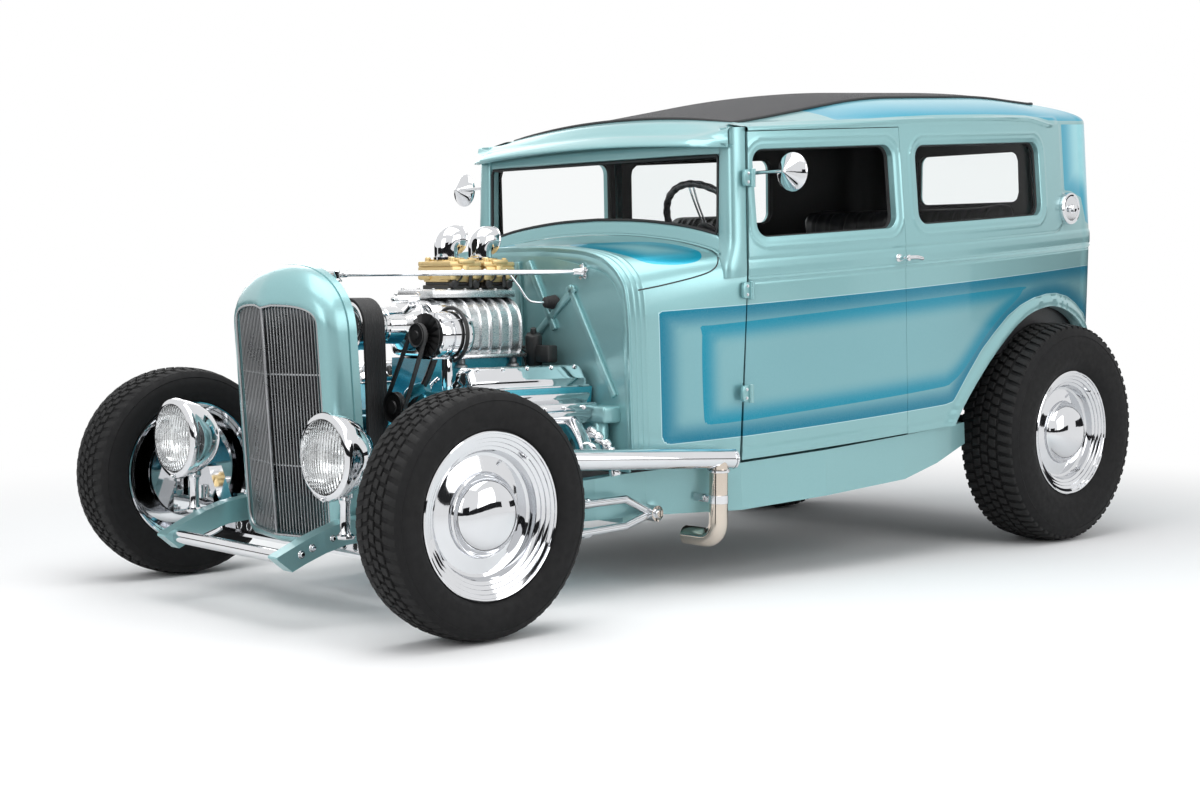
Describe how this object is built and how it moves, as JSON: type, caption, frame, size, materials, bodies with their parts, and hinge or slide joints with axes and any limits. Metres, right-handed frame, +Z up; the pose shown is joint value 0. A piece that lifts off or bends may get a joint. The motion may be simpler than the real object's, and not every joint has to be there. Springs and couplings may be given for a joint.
{
  "type": "open-engine two-door hot rod sedan",
  "caption": "Fenderless hot rod sedan with a hoodless blown vee engine, swinging doors, steered front wheels and rolling tyres",
  "frame": {"origin": "on the ground, in the middle of the car's length and width", "axes": "+X forward, +Y to the car's left, +Z up"},
  "size_m": [3.4828, 1.668, 1.6243],
  "materials": {
    "belt_rubber": "ribbed black belt",
    "black_plastic": "satin black",
    "black_steel": "satin black enamel",
    "black_trim_leather": "black pleated leather",
    "body_paint": "pale sea-green metallic paint with turquoise faded panels under clear coat",
    "carpet": "black loop carpet",
    "cast_metal": "cast grey metal",
    "clear_glass": "clear flat glass",
    "core_black": "black finned core",
    "engine_paint": "metallic teal enamel",
    "gold_carburettor": "gold dichromate casting",
    "grille_steel": "polished steel bars",
    "lamp_glass": "fluted clear lens",
    "polished_aluminium": "polished casting",
    "red_lens": "ribbed red lens",
    "roof_cloth": "dark grey grained roof cloth",
    "trim_chrome": "bright chrome plate",
    "tyre": "matte black blockwall rubber",
    "wheel_chrome": "bright chrome plate",
    "wheel_rim_plastic": "dark grey rim"
  },
  "bodies": {
    "chassis": {"air_scoops": "trim_chrome", "alternator": "trim_chrome", "blower_belt": "belt_rubber", "carburettor_plate": "trim_chrome", "carburettors": "gold_carburettor", "cowl": "body_paint", "dashboard": "body_paint", "distributor": "black_plastic", "door_hinges": "trim_chrome", "engine_block": "engine_paint", "exhaust_headers": "trim_chrome", "firewall": "body_paint", "floor_pan": "carpet", "frame_rails": "body_paint", "front_axle_beam": "trim_chrome", "front_seats": "black_trim_leather", "front_spring": "trim_chrome", "fuel_filler": "trim_chrome", "gearbox_and_propshaft": "cast_metal", "glazing": "clear_glass", "grille_insert": "grille_steel", "grille_shell": "body_paint", "headlamp_lenses": "lamp_glass", "headlamps": "trim_chrome", "radiator": "core_black", "radius_rods": "trim_chrome", "rear_axle": "black_steel", "rear_body_shell": "body_paint", "rear_dampers": "black_steel", "rear_seat": "black_trim_leather", "roof_insert": "roof_cloth", "roof_shell": "body_paint", "side_pipes": "trim_chrome", "spreader_bar": "trim_chrome", "stay_rods": "trim_chrome", "steering_column": "trim_chrome", "steering_wheel": "wheel_rim_plastic", "supercharger": "polished_aluminium", "tail_lamps": "red_lens", "trailing_arms": "black_steel", "valve_covers": "trim_chrome", "windscreen_frame": "body_paint"},
    "left_door": {"left_door": "body_paint", "left_door_mirror": "trim_chrome", "left_door_handle": "trim_chrome"},
    "left_knuckle": {"left_knuckle": "trim_chrome"},
    "right_door": {"right_door": "body_paint", "right_door_mirror": "trim_chrome", "right_door_handle": "trim_chrome"},
    "right_knuckle": {"right_knuckle": "trim_chrome"},
    "tie_rod": {"tie_rod": "trim_chrome"},
    "front_left_wheel": {"front_left_tyre": "tyre", "front_left_wheel": "wheel_chrome"},
    "front_right_wheel": {"front_right_tyre": "tyre", "front_right_wheel": "wheel_chrome"},
    "rear_left_wheel": {"rear_left_tyre": "tyre", "rear_left_wheel": "wheel_chrome"},
    "rear_right_wheel": {"rear_right_tyre": "tyre", "rear_right_wheel": "wheel_chrome"}
  },
  "joints": [
    {"name": "left_door_swing", "type": "hinge", "parent": "chassis", "child": "left_door", "pos_m": [0.2455, 0.63, 0.9], "axis": [0, 0, -1], "range_deg": [0, 65]},
    {"name": "right_door_swing", "type": "hinge", "parent": "chassis", "child": "right_door", "pos_m": [0.2455, -0.63, 0.9], "axis": [0, 0, 1], "range_deg": [0, 65]},
    {"name": "left_steer", "type": "hinge", "parent": "chassis", "child": "left_knuckle", "pos_m": [1.4065, 0.61, 0.325], "axis": [0, 0, 1], "range_deg": [-30, 30]},
    {"name": "right_steer", "type": "hinge", "parent": "chassis", "child": "right_knuckle", "pos_m": [1.4065, -0.61, 0.325], "axis": [0, 0, 1], "range_deg": [-30, 30]},
    {"name": "tie_rod_pivot", "type": "hinge", "parent": "left_knuckle", "child": "tie_rod", "pos_m": [1.2565, 0.61, 0.2138], "axis": [0, 0, 1], "range_deg": [-30, 30]},
    {"name": "front_left_wheel_spin", "type": "hinge", "parent": "left_knuckle", "child": "front_left_wheel", "pos_m": [1.4065, 0.739, 0.325], "axis": [0, 1, 0], "continuous": true},
    {"name": "front_right_wheel_spin", "type": "hinge", "parent": "right_knuckle", "child": "front_right_wheel", "pos_m": [1.4065, -0.739, 0.325], "axis": [0, 1, 0], "continuous": true},
    {"name": "rear_left_wheel_spin", "type": "hinge", "parent": "chassis", "child": "rear_left_wheel", "pos_m": [-1.2855, 0.6585, 0.388], "axis": [0, 1, 0], "continuous": true},
    {"name": "rear_right_wheel_spin", "type": "hinge", "parent": "chassis", "child": "rear_right_wheel", "pos_m": [-1.2855, -0.6585, 0.388], "axis": [0, 1, 0], "continuous": true}
  ],
  "couplings": [
    {"joint": "right_steer", "follows": "left_steer", "ratio": 1},
    {"joint": "tie_rod_pivot", "follows": "left_steer", "ratio": -1}
  ]
}
